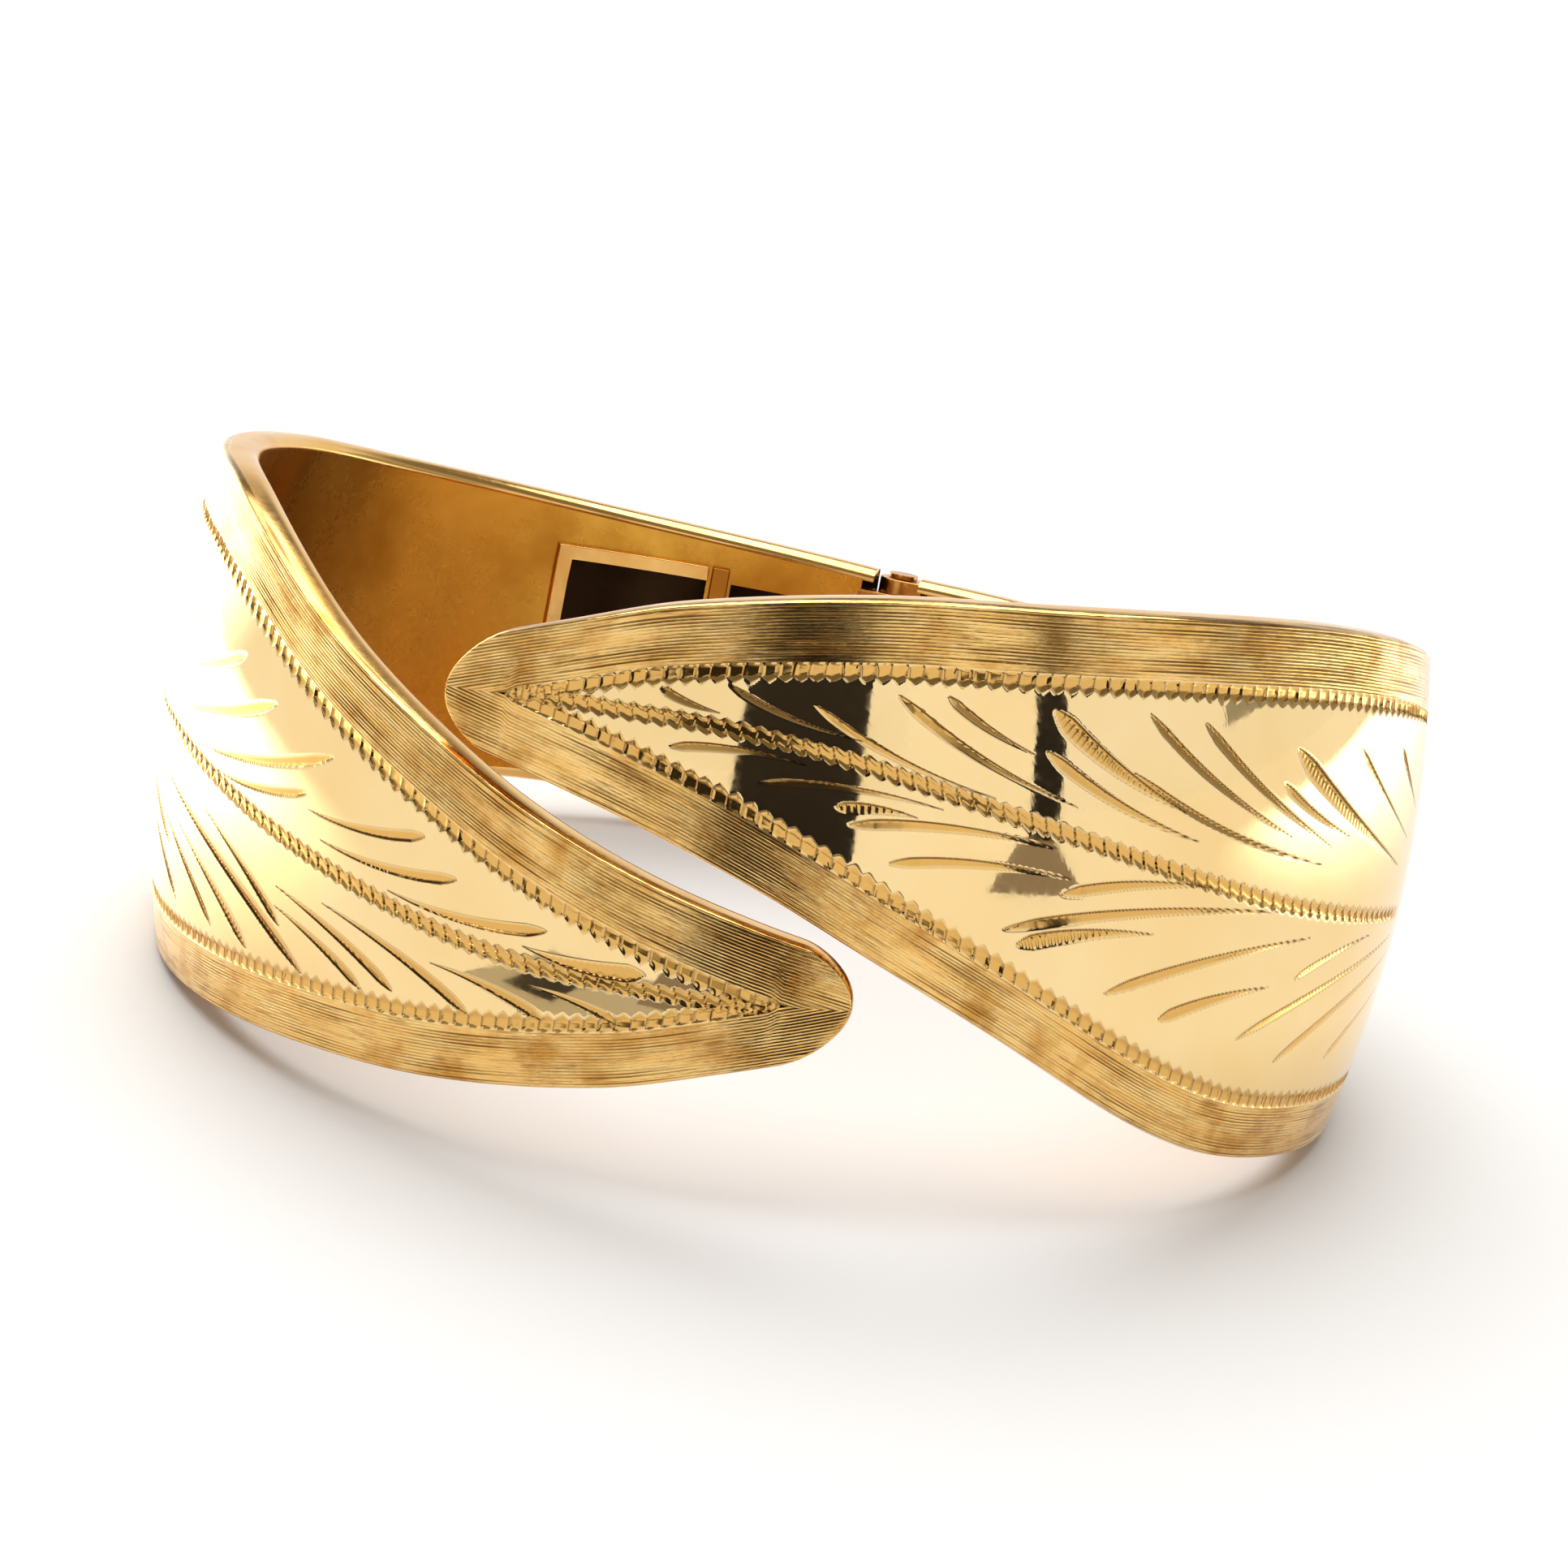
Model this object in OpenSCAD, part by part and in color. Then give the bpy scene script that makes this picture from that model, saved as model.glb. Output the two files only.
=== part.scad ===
// Hinged bypass bangle: two hollow leaf-shaped halves on a sprung hinge, in millimetres.
// Wrist frame: +Z along the wrist, the leaves cross at the front (-Y), the hinge is at the back (+Y).
// The right leaf is drawn in full. Half a turn about the front-to-back line makes the left one.

/* [Oval] */
// Outside width of the oval, side to side
oval_w = 61; // [59:0.5:64]
// Outside depth of the oval, front to back
oval_d = 49.5; // [48:0.5:52]
// Thickness of the hollow band
band_t = 1.9; // [1.85:0.05:2]
// Radius of the dome across the width of a leaf
dome_r = 57; // [50:1:90]

/* [Sheets] */
// Thickness of the engraved outer sheet
face_t = 0.35; // [0.3:0.05:0.4]
// Thickness of the plain inner sheet
liner_t = 0.3; // [0.25:0.05:0.35]
// Height of the half-round strip that closes the edge
rim_h = 0.7; // [0.5:0.05:0.9]

/* [Leaf] */
// Angle by which each tip passes the front centre
tip_angle = 19; // [16:0.5:21]
// Angle over which a tip rounds off
tip_span = 5; // [4:0.5:7]

/* [Windows] */
// Side of the first window nearer the hinge, from the centre line
window_x = 10.9; // [10.6:0.1:11.4]
// Width of the first window
window_w = 7.5; // [7:0.1:8]
// Height from the lower to the upper side of both windows
window_h = 9.6; // [9:0.1:10]
// Height of the windows' middle above the middle of the hinge
window_z = -0.6; // [-0.8:0.1:-0.2]
// Width of the bar between the two windows
bridge_w = 1.4; // [1:0.1:1.5]

/* [Hinge] */
// Radius of the hinge barrel
barrel_r = 1.25; // [1.2:0.01:1.28]
// Radius of the hinge pin
pin_r = 0.45; // [0.4:0.05:0.55]
// Radial play of the pin in the knuckles that turn on it
pin_play = 0.03; // [0.02:0.01:0.06]
// Length of the barrel
barrel_l = 14.8; // [14:0.1:15]
// Number of knuckles
knuckles = 5; // [3:2:7]
// Gap between knuckles
knuckle_gap = 0.06; // [0.04:0.01:0.1]

/* [Spring] */
// Length of the flat spring
spring_l = 19; // [17:0.5:19.5]
// Width of the flat spring
spring_w = 4.6; // [4:0.1:5]
// Thickness of the flat spring
spring_t = 0.2; // [0.15:0.05:0.25]
// Radius of the spring's rivet
rivet_r = 0.5; // [0.4:0.05:0.6]

/* [Hidden] */
$fn = 48;

gold = "#d9a441";
pale_gold = "#e6cf95";
deep_gold = "#a8651c";
steel = "#8f9196";

// Upper and lower edge of the right leaf: [angle from the front, height above the hinge's middle]
top_line = [
    [-20, 6.6], [-10, 8.6], [0, 10.5], [15, 12.2], [30, 13], [45, 13.5], [60, 13.6], [75, 13.1],
    [90, 12], [105, 10.1], [120, 8.3], [135, 7.4], [150, 7.4], [165, 7.7], [180, 7.7]
];
bottom_line = [
    [-20, 2.8], [-10, 2], [0, 0.9], [10, -0.7], [20, -2.8], [30, -5], [45, -8.4], [55, -10],
    [65, -10.7], [80, -11], [100, -10.7], [120, -9.8], [150, -8.5], [180, -7.7]
];
// Share of the leaf's middle height that its dome follows
dome_share = 0.5;
// Turn and shift that stand the bangle on three points of its lower edge
stand_turn = [-8.06, 0.96, 0];
stand_shift = [0, -0.49, 11.72];

// The hinge: sheets end at seam_x from the centre line, and the pin runs pin_depth below the face
seam_x = 1.34;
plate_x = 1.95;
pin_depth = 0.35;
pin_y = oval_d / 2 - pin_depth;
// Play between the barrel and what passes on its inner side
barrel_play = 0.05;
lug_y = pin_y - barrel_r - barrel_play;
lug_t = 0.95;
lug_z = 3.2;
stop_gap = 0.04;
plate_t = 0.85;
plate_h = 13.2;
tongue_t = 0.7;
cap_h = 0.25;
cap_r = 0.8;
// The spring lies spring_play inside the barrel, and its rivet's shank rises rivet_rise above it
spring_play = 0.1;
spring_y = lug_y - spring_play - spring_t;
rivet_x = 7.2;
rivet_head_t = 0.25;
rivet_head_r = 0.85;
rivet_rise = 0.35;
// Solder under what is fixed on a sheet, and overshoot of what is cut away
solder = 0.03;
over = 1;

// Rings along a leaf, and points across it
tip_rings = 6;
ring_step = 5;
cross_points = 6;
rim_points = 6;

// Smooth curve through a list of [angle, height] points
function slope_at(c, i) =
    let (p = c[max(i - 1, 0)], q = c[min(i + 1, len(c) - 1)]) (q[1] - p[1]) / (q[0] - p[0]);
function hermite(p, q, mp, mq, t) =
    let (w = q[0] - p[0], u = (t - p[0]) / w)
    p[1] * (1 + 2 * u) * (1 - u) * (1 - u) + q[1] * u * u * (3 - 2 * u)
    + mp * w * u * (1 - u) * (1 - u) - mq * w * u * u * (1 - u);
function curve(c, t, i = 0) =
    i >= len(c) - 2 || t <= c[i + 1][0]
        ? hermite(c[i], c[i + 1], slope_at(c, i), slope_at(c, i + 1), t)
        : curve(c, t, i + 1);

// Half-round tip: the share of its full height that the leaf has at angle t
function tip_share(t) =
    let (u = min((t + tip_angle) / tip_span, 1)) sqrt(1 - (1 - u) * (1 - u));
function middle(t) = (curve(top_line, t) + curve(bottom_line, t)) / 2;
function half_height(t) = (curve(top_line, t) - curve(bottom_line, t)) / 2 * tip_share(t);

// Point at an angle and a height, a depth below the outer surface of the domed oval
function on_band(t, z, depth) =
    let (
        a = oval_w / 2,
        b = oval_d / 2,
        rise = z - dome_share * middle(t),
        sink = depth + rise * rise / (2 * dome_r),
        n = [b * sin(t), -a * cos(t)] / norm([b * sin(t), -a * cos(t)])
    )
    [a * sin(t) - sink * n[0], -b * cos(t) - sink * n[1], z];
// Millimetres along the oval for one degree
function mm_per_degree(t) = norm([oval_w / 2 * cos(t), oval_d / 2 * sin(t)]) * PI / 180;
// Angle of the band at a distance x from the centre line, near the hinge
function back_angle(x) = 180 - asin(2 * x / oval_w);

// Angles of the rings from the tip to the seam
seam_angle = back_angle(seam_x);
body_rings = round((seam_angle + tip_angle - tip_span) / ring_step);
leaf_angles = concat(
    [for (i = [1 : tip_rings]) -tip_angle + tip_span * (1 - cos(90 * i / tip_rings))],
    [for (i = [1 : body_rings])
        tip_span - tip_angle + (seam_angle + tip_angle - tip_span) * i / body_rings]
);
rings = len(leaf_angles);
// The outline from the hinge along the lower edge, round the tip and back along the upper edge
outline = concat(
    [for (i = [rings - 1 : -1 : 0]) [leaf_angles[i], middle(leaf_angles[i]) - half_height(leaf_angles[i])]],
    [for (t = leaf_angles) [t, middle(t) + half_height(t)]]
);
// Outward direction at point k of the outline, and the point that lies in from it by w
function outward(k) =
    k == 0 ? [0, -1] : k == len(outline) - 1 ? [0, 1] :
    let (
        d = outline[k + 1] - outline[k - 1],
        s = [d[0] * mm_per_degree(outline[k][0]), d[1]]
    )
    [-s[1], s[0]] / norm(s);
function inset(k, w) =
    let (p = outline[k], n = outward(k)) [p[0] - w * n[0] / mm_per_degree(p[0]), p[1] - w * n[1]];

// Two triangles for each four-sided face
function quad(p, q, r, s) = [[p, q, r], [p, r, s]];
function flat_list(lists) = [for (l = lists) each l];
// Closed slab between two grids of points
module slab(outer, inner) {
    rows = len(outer);
    cols = len(outer[0]);
    m = rows * cols;
    polyhedron(
        points = concat(flat_list(outer), flat_list(inner)),
        faces = flat_list(concat(
            [for (i = [0 : rows - 2], j = [0 : cols - 2])
                let (p = i * cols + j) quad(p, p + 1, p + cols + 1, p + cols)],
            [for (i = [0 : rows - 2], j = [0 : cols - 2])
                let (p = m + i * cols + j) quad(p, p + cols, p + cols + 1, p + 1)],
            [for (i = [0 : rows - 2])
                let (p = i * cols) quad(p, p + cols, m + p + cols, m + p)],
            [for (i = [0 : rows - 2])
                let (p = (i + 1) * cols - 1) quad(p, m + p, m + p + cols, p + cols)],
            [for (j = [0 : cols - 2]) quad(j, m + j, m + j + 1, j + 1)],
            [for (j = [0 : cols - 2])
                let (p = (rows - 1) * cols + j) quad(p, p + 1, m + p + 1, m + p)]
        ))
    );
}
// One surface of a leaf inside its edge strip, at a depth, as a grid of points
function leaf_grid(depth) =
    [for (i = [0 : rings - 1])
        let (lo = inset(rings - 1 - i, rim_h), hi = inset(rings + i, rim_h))
        [for (j = [0 : cross_points])
            let (p = lo + (hi - lo) * j / cross_points) on_band(p[0], p[1], depth)]];
// Curved block of the band near the hinge, between two distances, two heights and two depths
module band_block(x1, x2, z1, z2, depth1, depth2, steps = 4) {
    function grid(depth) =
        [for (i = [0 : steps])
            let (t = back_angle(x2 + (x1 - x2) * i / steps))
            [for (j = [0 : 2]) on_band(t, z1 + (z2 - z1) * j / 2, depth)]];
    slab(grid(depth1), grid(depth2));
}
// The left half of the bangle is the right half turned over
module turned() rotate([0, 180, 0]) children();
// The bangle as it stands on a table
module stand() translate(stand_shift) rotate(stand_turn) children();

// Outer sheet of a leaf
module wing_face() slab(leaf_grid(0), leaf_grid(face_t));
module right_wing_face() color(pale_gold) stand() wing_face();
module left_wing_face() color(pale_gold) stand() turned() wing_face();

// Inner sheet of a leaf, cut for the two windows and short of the hinge
second_window_x = window_x - bridge_w;
window_low = window_z - window_h / 2;
cut_y = oval_d / 2 - 6;
cut_depth = 8;
module wing_liner() {
    difference() {
        slab(leaf_grid(band_t - liner_t), leaf_grid(band_t));
        translate([window_x, cut_y, window_low]) cube([window_w, cut_depth, window_h]);
        translate([0, cut_y, window_low]) cube([second_window_x, cut_depth, window_h]);
        translate([0, cut_y, -oval_d / 4]) cube([plate_x + barrel_play, cut_depth, oval_d / 2]);
    }
}
module right_wing_liner() color(deep_gold) stand() wing_liner();
module left_wing_liner() color(deep_gold) stand() turned() wing_liner();

// Half-round strip that closes the edge between the two sheets
module edge_strip() {
    m = rim_points + 1;
    last = len(outline) - 1;
    polyhedron(
        points = [for (k = [0 : last], j = [0 : rim_points])
            let (
                a = 180 * j / rim_points,
                p = inset(k, rim_h * (1 - sin(a)))
            )
            on_band(p[0], p[1], band_t / 2 * (1 - cos(a)))],
        faces = concat(
            [[for (j = [0 : rim_points]) j]],
            flat_list([for (k = [0 : last - 1], j = [0 : rim_points])
                let (p = k * m + j, q = k * m + (j + 1) % m) quad(p, p + m, q + m, q)]),
            [[for (j = [rim_points : -1 : 0]) last * m + j]]
        )
    );
}
module right_edge_strip() color(gold) stand() edge_strip();
module left_edge_strip() color(gold) stand() turned() edge_strip();

// Raised frame round the first window, on the wrist side of the inner sheet
frame_w = 0.8;
frame_h = 0.25;
module window_frame() {
    difference() {
        band_block(window_x, window_x + window_w + frame_w,
            window_low - frame_w, window_low + window_h + frame_w,
            band_t + solder, band_t + solder + frame_h, 8);
        translate([window_x - over, cut_y, window_low]) cube([window_w + over, cut_depth, window_h]);
    }
}
module right_window_frame() color(gold) stand() window_frame();
module left_window_frame() color(gold) stand() turned() window_frame();

// Raised bar between the windows, which the spring passes under
bar_over = frame_w;
bar_inset = 0.2;
module bridge_bar() {
    band_block(second_window_x + bar_inset, window_x - bar_inset,
        window_low - bar_over, window_low + window_h + bar_over,
        band_t + solder, band_t + solder + frame_h, 1);
}
module right_bridge_bar() color(gold) stand() bridge_bar();
module left_bridge_bar() color(gold) stand() turned() bridge_bar();

// Plate that closes the hollow end of a half beside the hinge
module hinge_plate()
    translate([seam_x, lug_y, -plate_h / 2]) cube([plate_x - seam_x, plate_t, plate_h]);
module right_hinge_plate() color(gold) stand() hinge_plate();
module left_hinge_plate() color(gold) stand() turned() hinge_plate();

// Knuckles of one half: every second tube of the barrel, each on a tongue that meets the plate
knuckle_l = barrel_l / knuckles;
module knuckle_set(first, bore_r) {
    for (i = [first : 2 : knuckles - 1])
        translate([0, pin_y, -barrel_l / 2 + i * knuckle_l + knuckle_gap / 2])
            difference() {
                union() {
                    cylinder(r = barrel_r, h = knuckle_l - knuckle_gap);
                    translate([0, lug_y + plate_t - tongue_t - pin_y, 0])
                        cube([seam_x, tongue_t, knuckle_l - knuckle_gap]);
                }
                translate([0, 0, -over]) cylinder(r = bore_r, h = knuckle_l + 2 * over);
            }
}
module right_knuckles() color(gold) stand() knuckle_set(0, pin_r + pin_play);
module left_knuckles() color(gold) stand() turned() knuckle_set(1, pin_r);

// Lugs on the wrist side of the barrel, which meet when the bangle is shut
module stop_lugs() {
    for (z = [lug_z, -plate_h / 2])
        translate([stop_gap / 2, lug_y - lug_t, z])
            cube([plate_x - stop_gap / 2, lug_t, plate_h / 2 - lug_z]);
}
module right_stop_lugs() color(deep_gold) stand() stop_lugs();
module left_stop_lugs() color(deep_gold) stand() turned() stop_lugs();

// Pin of the hinge, and the two caps pressed on its ends
module hinge_pin()
    color(steel) stand() translate([0, pin_y, -barrel_l / 2]) cylinder(r = pin_r, h = barrel_l);
module pin_caps() {
    color(gold) stand()
        for (s = [-1, 1])
            translate([0, pin_y, s * (barrel_l + cap_h) / 2]) cylinder(r = cap_r, h = cap_h, center = true);
}

// Flat spring across the hinge, riveted to the left half and free to slide in the right one
module leaf_spring() {
    color(steel) stand()
        difference() {
            translate([-spring_l / 2, spring_y, -spring_w / 2]) cube([spring_l, spring_t, spring_w]);
            translate([-rivet_x, spring_y - over, 0])
                rotate([-90, 0, 0]) cylinder(r = rivet_r, h = spring_t + 2 * over);
        }
}
// Rivet that holds the spring in the left half
module spring_rivet() {
    color(steel) stand()
        translate([-rivet_x, spring_y - rivet_head_t, 0]) rotate([-90, 0, 0]) {
            cylinder(r = rivet_head_r, h = rivet_head_t);
            cylinder(r = rivet_r, h = rivet_head_t + spring_t + rivet_rise);
        }
}

// Two rails in the right half that keep the free end of the spring in line
rail_x = 5;
rail_w = 0.5;
rail_play = 0.1;
rail_gap = 0.2;
module right_spring_guide() {
    color(gold) stand()
        for (z = [-spring_w / 2 - rail_play - rail_w, spring_w / 2 + rail_play])
            band_block(rail_x, spring_l / 2 + over, z, z + rail_w,
                face_t + solder, band_t - liner_t - rail_gap);
}

right_wing_face();
left_wing_face();
right_wing_liner();
left_wing_liner();
right_edge_strip();
left_edge_strip();
right_window_frame();
left_window_frame();
right_bridge_bar();
left_bridge_bar();
right_hinge_plate();
left_hinge_plate();
right_knuckles();
left_knuckles();
right_stop_lugs();
left_stop_lugs();
hinge_pin();
pin_caps();
leaf_spring();
spring_rivet();
right_spring_guide();
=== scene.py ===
import math

import bpy
import numpy as np
from mathutils import Euler, Matrix, Vector


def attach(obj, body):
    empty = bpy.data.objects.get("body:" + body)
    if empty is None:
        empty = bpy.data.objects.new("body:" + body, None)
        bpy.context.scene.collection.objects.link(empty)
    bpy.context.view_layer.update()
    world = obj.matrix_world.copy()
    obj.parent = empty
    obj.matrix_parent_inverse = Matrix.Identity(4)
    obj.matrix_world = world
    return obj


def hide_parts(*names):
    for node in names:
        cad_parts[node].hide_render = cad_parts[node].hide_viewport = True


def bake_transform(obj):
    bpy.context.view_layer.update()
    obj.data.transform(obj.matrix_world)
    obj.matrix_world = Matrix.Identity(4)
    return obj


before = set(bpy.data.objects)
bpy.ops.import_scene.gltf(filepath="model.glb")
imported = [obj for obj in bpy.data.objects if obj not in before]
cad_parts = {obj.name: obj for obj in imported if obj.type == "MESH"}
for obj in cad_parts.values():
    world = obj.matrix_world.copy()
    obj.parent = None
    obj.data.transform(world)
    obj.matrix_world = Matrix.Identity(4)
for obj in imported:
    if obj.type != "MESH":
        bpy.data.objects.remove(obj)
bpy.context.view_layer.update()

MM = 0.001
RNG = np.random.default_rng(7)

# ---------------------------------------------------------------- the bangle's own dimensions, in mm
OVAL_W, OVAL_D, BAND_T, DOME_R = 61.0, 49.5, 1.9, 57.0
FACE_T, LINER_T, RIM_H, RIM_SHOWN = 0.35, 0.3, 0.7, 0.2
TIP_ANGLE, TIP_SPAN, DOME_SHARE = 19.0, 5.0, 0.5
SEAM_X, PLATE_X = 1.34, 1.95
WINDOW_X, WINDOW_W, WINDOW_H, WINDOW_Z, BRIDGE_W = 10.9, 7.5, 9.6, -0.6, 1.4
FRAME_W, FRAME_H, SOLDER, BAR_INSET = 0.8, 0.25, 0.03, 0.2
SPRING_L, SPRING_W, SPRING_T, SPRING_Y = 19.0, 4.6, 0.2, 22.8
TOP_LINE = [
    (-20, 6.6), (-10, 8.6), (0, 10.5), (15, 12.2), (30, 13), (45, 13.5), (60, 13.6), (75, 13.1),
    (90, 12), (105, 10.1), (120, 8.3), (135, 7.4), (150, 7.4), (165, 7.7), (180, 7.7),
]
BOTTOM_LINE = [
    (-20, 2.8), (-10, 2), (0, 0.9), (10, -0.7), (20, -2.8), (30, -5), (45, -8.4), (55, -10),
    (65, -10.7), (80, -11), (100, -10.7), (120, -9.8), (150, -8.5), (180, -7.7),
]
STAND_TURN = Euler((math.radians(-8.06), math.radians(0.96), 0)).to_matrix()
STAND_SHIFT = np.array([0, -0.49, 11.72])

# ---------------------------------------------------------------- the engraving, in degrees and mm
BORDER_W = 2.62
PANEL_START = -13.2
PANEL_ROUND = 1.4
TOOTH = 0.66
ROW_IN = 0.45
ROW_DEPTH, MIDRIB_DEPTH, MIDRIB_END = 0.13, 0.11, 86
VALLEY_SIDE = -0.42
CUT_VALLEY, CUT_STEEP, RIB_PITCH = 0.62, 0.42, 0.3
FULL_CUT = 0.03
MIDRIB = [(-13, 5.4), (-5, 5.6), (5, 5.85), (14, 5.6), (22, 5), (34, 3.9), (48, 2.5), (60, 1.5), (82, 0.45),
          (110, 0), (178, -0.2)]
# Each cut: angle and height of its head, angle and height of its tail, width, and 1 if it is ribbed
RIGHT_CUTS = [
    (-0.6, 6.9, 4.5, 6.4, 0.4, 0), (4.7, 7.6, 15.7, 6.4, 0.32, 0), (11.4, 7.5, 27, 5, 0.34, 0),
    (17.7, 8.5, 34, 5.1, 0.46, 0), (21.6, 8.8, 29.6, 7, 0.4, 0), (30.5, 8.9, 44, 5.4, 0.8, 1),
    (30.4, 7.2, 46, 4.2, 0.5, 0), (38.4, 6.8, 62, 3.4, 0.34, 0), (39, 9.3, 57, 4.6, 0.42, 0),
    (44.7, 9.2, 63, 4.2, 0.42, 0), (54.8, 6.9, 66, 4.6, 0.36, 0), (56, 8.4, 80, 2.8, 0.8, 1),
    (66, 8.5, 82, 4, 0.36, 0), (76, 8.3, 85, 5.2, 0.36, 0),
    (1, 4.6, 11.8, 5, 0.4, 0), (8.4, 3.9, 23, 4.2, 0.34, 0), (14.6, 3.5, 21, 3.7, 0.5, 1),
    (15.8, 2.9, 33, 3.3, 0.46, 0), (19.4, 1.6, 34.6, 2.1, 0.46, 0), (34, 1.4, 48.4, 2.3, 0.5, 0),
    (29.6, -0.4, 57, 1.3, 0.5, 0), (31, -1, 43.3, 0.1, 0.7, 1), (39.8, -2.7, 62.6, 0.1, 0.5, 0),
    (45.8, -3.7, 58, -2.1, 0.6, 0), (61.5, -1.8, 74.8, -0.2, 0.36, 0), (55.6, -4.5, 84, -0.7, 0.4, 0),
    (62, -5.7, 85, -1.5, 0.36, 0), (72, -6, 84, -3.3, 0.3, 0),
]
LEFT_CUTS = [
    (63.5, -6.6, 78, -3, 0.36, 0), (54, -4.6, 66, -2.6, 0.4, 0), (43.6, -3.1, 56, -1.5, 0.5, 0),
    (37.4, -1.6, 58, 0.5, 0.55, 0), (29, -0.3, 50, 1.7, 0.5, 0), (31.4, 1.6, 46, 2.4, 0.4, 0),
    (18.2, 1.7, 31, 2.3, 0.5, 0), (14.6, 3.1, 29, 3.4, 0.5, 0), (6.2, 4.2, 21, 4.5, 0.55, 0),
    (-2.2, 5, 8, 5.1, 0.8, 1),
    (55.4, 7.3, 80, 3, 0.5, 0), (52.8, 9.6, 72, 5, 0.46, 0), (29.6, 9.6, 66, 3.1, 0.6, 0),
    (44, 9.6, 62, 5.2, 0.46, 0), (37.5, 9.7, 54, 5.7, 0.6, 1), (33, 7.9, 47, 4.4, 0.5, 0),
    (22.7, 9.2, 34, 7.1, 0.46, 0), (19.3, 8.8, 34, 6.2, 0.5, 0), (11.9, 8.7, 28, 6.1, 0.5, 0),
    (5.3, 8, 16, 7, 0.46, 0), (-1.3, 7.4, 7, 6.7, 0.4, 0),
]
# The cuts behind the widest part, which fan out again towards the hinge
BACK_CUTS = [
    (102, 7.2, 88, 3, 0.4, 0), (112, 5.6, 90, 2.3, 0.5, 0), (122, 4.4, 100, 1.9, 0.46, 0),
    (133, 3.4, 112, 1.3, 0.46, 0), (145, 2.9, 126, 1, 0.46, 0), (157, 2.6, 140, 0.8, 0.42, 0),
    (98, -7.2, 88, -2.4, 0.4, 0), (108, -6.6, 90, -1.7, 0.5, 0), (119, -5.6, 99, -1.3, 0.46, 0),
    (131, -4.6, 110, -0.9, 0.46, 0), (144, -3.8, 124, -0.8, 0.46, 0), (157, -3.2, 139, -0.8, 0.42, 0),
]


# ---------------------------------------------------------------- shape of a leaf
def curve(points, t):
    """Height of a smooth curve through points at the angles t."""
    x, y = np.array(points, float).T
    last = len(x) - 1
    before, after = np.maximum(np.arange(last + 1) - 1, 0), np.minimum(np.arange(last + 1) + 1, last)
    slope = (y[after] - y[before]) / (x[after] - x[before])
    t = np.asarray(t, float)
    i = np.clip(np.searchsorted(x, t, side="right") - 1, 0, last - 1)
    w = x[i + 1] - x[i]
    u = (t - x[i]) / w
    return (y[i] * (1 + 2 * u) * (1 - u) ** 2 + y[i + 1] * u ** 2 * (3 - 2 * u)
            + slope[i] * w * u * (1 - u) ** 2 - slope[i + 1] * w * u ** 2 * (1 - u))


def top(t):
    return curve(TOP_LINE, t)


def bottom(t):
    return curve(BOTTOM_LINE, t)


def middle(t):
    return (top(t) + bottom(t)) / 2


def on_band(t, z, depth):
    """Points of the wrist frame at angles t and heights z, a depth below the domed oval."""
    a, b = OVAL_W / 2, OVAL_D / 2
    t, z, depth = np.broadcast_arrays(*(np.asarray(v, float) for v in (t, z, depth)))
    rad = np.radians(t)
    nx, ny = b * np.sin(rad), -a * np.cos(rad)
    length = np.hypot(nx, ny)
    sink = depth + (z - DOME_SHARE * middle(t)) ** 2 / (2 * DOME_R)
    return np.stack([a * np.sin(rad) - sink * nx / length, -b * np.cos(rad) - sink * ny / length, z], -1)


def mm_per_degree(t):
    """Millimetres along the oval for each degree, at the angles t."""
    rad = np.radians(t)
    return np.hypot(OVAL_W / 2 * np.cos(rad), OVAL_D / 2 * np.sin(rad)) * math.pi / 180


ANGLE_STEP = 0.25
LENGTH_ANGLES = np.arange(-25, 185, ANGLE_STEP)
LENGTHS = np.concatenate([[0], np.cumsum(mm_per_degree(LENGTH_ANGLES[:-1] + ANGLE_STEP / 2) * ANGLE_STEP)])


def along(t):
    """Millimetres along the oval at the angle t."""
    return np.interp(t, LENGTH_ANGLES, LENGTHS)


def back_angle(x):
    """Angle of the band at a distance x from the centre line, near the hinge."""
    return 180 - np.degrees(np.arcsin(2 * np.asarray(x, float) / OVAL_W))


SEAM_ANGLE = float(back_angle(SEAM_X))


def leaf_rings(tip_steps, step_mm):
    """Angles from the round tip to the seam in even steps, and the share of the leaf's height at each."""
    quarter = np.linspace(0, math.pi / 2, tip_steps + 1)
    tip = -TIP_ANGLE + TIP_SPAN * (1 - np.cos(quarter))
    first, last = along(tip[-1]), along(SEAM_ANGLE)
    count = max(2, int(round((last - first) / step_mm)))
    body = np.interp(np.linspace(first, last, count + 1)[1:], LENGTHS, LENGTH_ANGLES)
    return np.concatenate([tip, body]), np.concatenate([np.sin(quarter), np.ones(count)])


def outline(angles, share):
    """Path of (angle, height) from the hinge along the lower edge, round the tip and back above."""
    half = (top(angles) - bottom(angles)) / 2 * share
    mid = middle(angles)
    low = np.stack([angles, mid - half], -1)[::-1]
    high = np.stack([angles, mid + half], -1)[1:]
    return np.concatenate([low, high])


def inset(path, width):
    """The path moved in by a width in mm, square to itself."""
    scale = mm_per_degree(path[:, 0])
    step = np.gradient(path, axis=0)
    step[:, 0] *= scale
    normal = np.stack([-step[:, 1], step[:, 0]], -1)
    normal /= np.linalg.norm(normal, axis=1)[:, None]
    normal[0], normal[-1] = (0, -1), (0, 1)
    moved = path.copy()
    moved[:, 0] -= width * normal[:, 0] / scale
    moved[:, 1] -= width * normal[:, 1]
    return moved


# ---------------------------------------------------------------- meshes
def placed(points, left):
    """Wrist-frame points in mm as standing points in metres. The left half is the right one turned over."""
    p = np.asarray(points, float).reshape(-1, 3)
    if left:
        p = p * (-1, 1, -1)
    return (p @ np.array(STAND_TURN).T + STAND_SHIFT) * MM


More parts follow.
